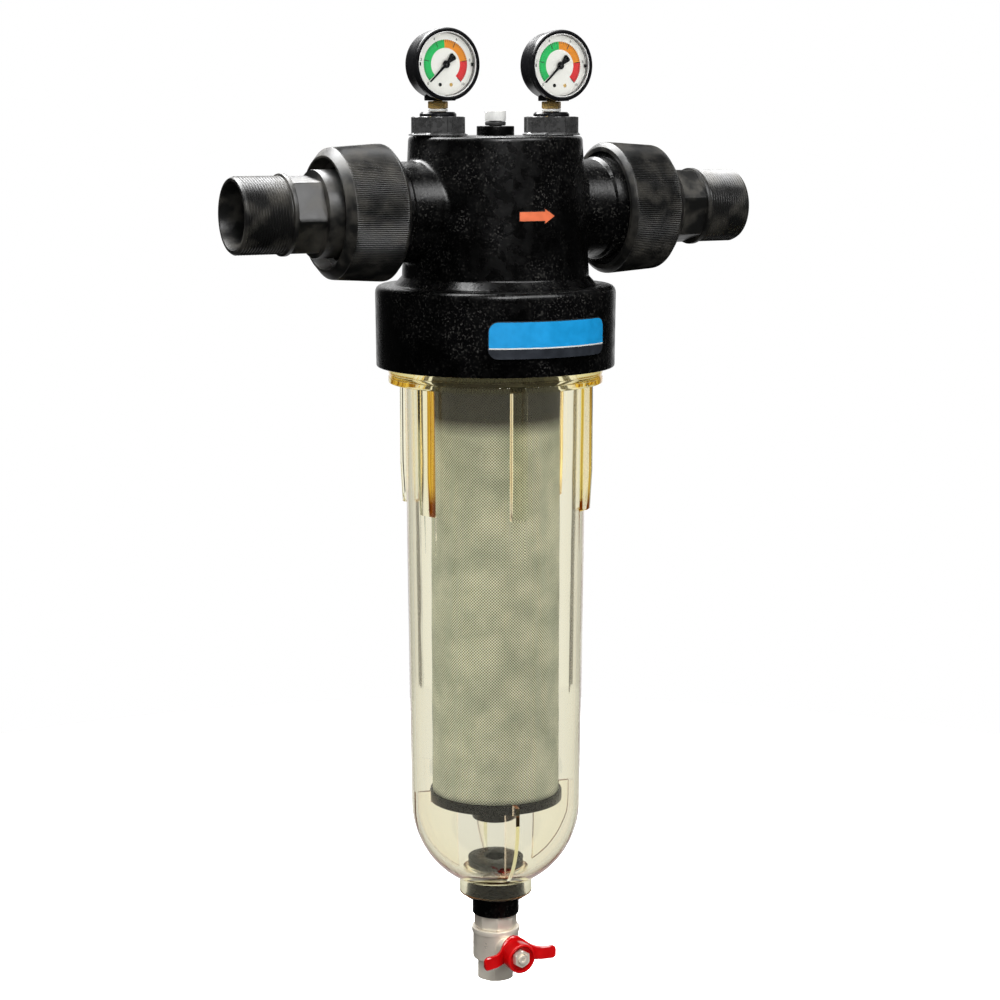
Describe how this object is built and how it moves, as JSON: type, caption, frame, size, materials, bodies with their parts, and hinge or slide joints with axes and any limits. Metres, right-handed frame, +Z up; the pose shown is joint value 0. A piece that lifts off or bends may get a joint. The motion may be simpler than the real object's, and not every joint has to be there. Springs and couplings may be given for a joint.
{
  "type": "sediment filter",
  "caption": "In-line water sediment filter: moulded head with union pipe ends and pressure gauges, clear screw-on bowl, woven sleeve on a cage, and a ball drain valve.",
  "frame": {"origin": "where the pipe run's axis crosses the bowl's axis, inside the head", "axes": "+X along the pipe run in the direction of flow, +Z up along the bowl's axis, the gauges and the drain handle face -Y"},
  "size_m": [0.4508, 0.1955, 0.787],
  "materials": {
    "black_moulding": "glass-filled black moulding, glossy with a fine mottle",
    "black_rubber": "black sealing rubber",
    "black_enamel": "black gloss enamel",
    "white_plastic": "white plastic",
    "pale_plastic": "pale moulded plastic",
    "clear_amber": "clear plastic with a pale yellow tint, golden at its edges",
    "clear_window": "clear gauge window",
    "brass": "machined brass",
    "nickel": "satin nickel plate over brass",
    "red_lacquer": "red gloss lacquer",
    "orange_print": "orange film",
    "blue_print": "blue film",
    "woven_mesh": "grey-green woven filter cloth"
  },
  "bodies": {
    "head": {"head_housing": "black_moulding", "flow_arrow": "orange_print", "name_plate": "blue_print", "vent_bush": "black_moulding", "inlet_gauge_adapter": "black_moulding", "inlet_gauge_cap_nut": "black_moulding", "inlet_gauge_washer": "white_plastic", "inlet_gauge_stem": "brass", "inlet_gauge_case": "black_enamel", "inlet_gauge_window": "clear_window", "inlet_gauge_dial": "white_plastic", "inlet_gauge_movement": "brass", "inlet_bourdon_tube": "brass", "outlet_gauge_adapter": "black_moulding", "outlet_gauge_cap_nut": "black_moulding", "outlet_gauge_washer": "white_plastic", "outlet_gauge_stem": "brass", "outlet_gauge_case": "black_enamel", "outlet_gauge_window": "clear_window", "outlet_gauge_dial": "white_plastic", "outlet_gauge_movement": "brass", "outlet_bourdon_tube": "brass"},
    "inlet_tail": {"inlet_nipple": "black_moulding", "inlet_union_oring": "black_rubber"},
    "inlet_nut": {"inlet_union_nut": "black_moulding"},
    "outlet_tail": {"outlet_nipple": "black_moulding", "outlet_union_oring": "black_rubber"},
    "outlet_nut": {"outlet_union_nut": "black_moulding"},
    "inlet_pointer": {"inlet_gauge_pointer": "black_enamel"},
    "outlet_pointer": {"outlet_gauge_pointer": "black_enamel"},
    "vent_seal": {"vent_oring": "black_rubber"},
    "vent_plug": {"vent_screw": "white_plastic"},
    "bowl_seal": {"bowl_oring": "black_rubber"},
    "bowl": {"filter_bowl": "clear_amber", "drain_adapter": "black_moulding", "drain_gasket": "black_rubber", "valve_body": "nickel", "valve_end": "nickel", "upper_ball_seat": "white_plastic", "lower_ball_seat": "white_plastic"},
    "filter_element": {"cage_collar": "black_moulding", "filter_cage": "pale_plastic", "cage_foot": "black_moulding", "swirl_vane": "black_moulding", "filter_sleeve": "woven_mesh", "sleeve_clip": "black_rubber"},
    "drain_cock": {"drain_handle": "red_lacquer", "handle_nut": "nickel", "valve_stem": "nickel", "stem_oring": "black_rubber", "valve_ball": "nickel"}
  },
  "joints": [
    {"name": "inlet_tail_withdraw", "type": "slide", "parent": "head", "child": "inlet_tail", "axis": [-1, 0, 0], "range_m": [0, 0.01801]},
    {"name": "inlet_nut_turn", "type": "hinge", "parent": "inlet_tail", "child": "inlet_nut", "pos_m": [-0.124, 0, 0], "axis": [-1, 0, 0], "range_deg": [0, 2160]},
    {"name": "outlet_tail_withdraw", "type": "slide", "parent": "head", "child": "outlet_tail", "axis": [1, 0, 0], "range_m": [0, 0.01801]},
    {"name": "outlet_nut_turn", "type": "hinge", "parent": "outlet_tail", "child": "outlet_nut", "pos_m": [0.124, 0, 0], "axis": [1, 0, 0], "range_deg": [0, 2160]},
    {"name": "inlet_pointer_swing", "type": "hinge", "parent": "head", "child": "inlet_pointer", "pos_m": [-0.051, 0, 0.114], "axis": [0, 1, 0], "range_deg": [0, 270], "stiffness_Nm_per_rad": 0.0005, "springref_deg": -5.73},
    {"name": "outlet_pointer_swing", "type": "hinge", "parent": "head", "child": "outlet_pointer", "pos_m": [0.051, 0, 0.114], "axis": [0, 1, 0], "range_deg": [0, 270], "stiffness_Nm_per_rad": 0.0005, "springref_deg": -5.73},
    {"name": "vent_lift", "type": "slide", "parent": "head", "child": "vent_seal", "axis": [0, 0, 1], "range_m": [0, 0.00301]},
    {"name": "vent_turn", "type": "hinge", "parent": "vent_seal", "child": "vent_plug", "pos_m": [0, 0, 0.07], "axis": [0, 0, 1], "range_deg": [0, 720]},
    {"name": "bowl_lower", "type": "slide", "parent": "head", "child": "bowl_seal", "axis": [0, 0, -1], "range_m": [0, 0.0181]},
    {"name": "bowl_turn", "type": "hinge", "parent": "bowl_seal", "child": "bowl", "pos_m": [0, 0, -0.1], "axis": [0, 0, -1], "range_deg": [0, 1080]},
    {"name": "element_lower", "type": "slide", "parent": "head", "child": "filter_element", "axis": [0, 0, -1], "range_m": [0, 0.0181]},
    {"name": "drain_turn", "type": "hinge", "parent": "bowl", "child": "drain_cock", "pos_m": [0, 0, -0.615], "axis": [0, 1, 0], "range_deg": [0, 90]}
  ],
  "couplings": [
    {"joint": "inlet_tail_withdraw", "follows": "inlet_nut_turn", "m_per_rad": 0.00047746},
    {"joint": "outlet_tail_withdraw", "follows": "outlet_nut_turn", "m_per_rad": 0.00047746},
    {"joint": "vent_lift", "follows": "vent_turn", "m_per_rad": 0.00023873},
    {"joint": "bowl_lower", "follows": "bowl_turn", "m_per_rad": 0.00095493},
    {"joint": "element_lower", "follows": "bowl_turn", "m_per_rad": 0.00095493}
  ]
}
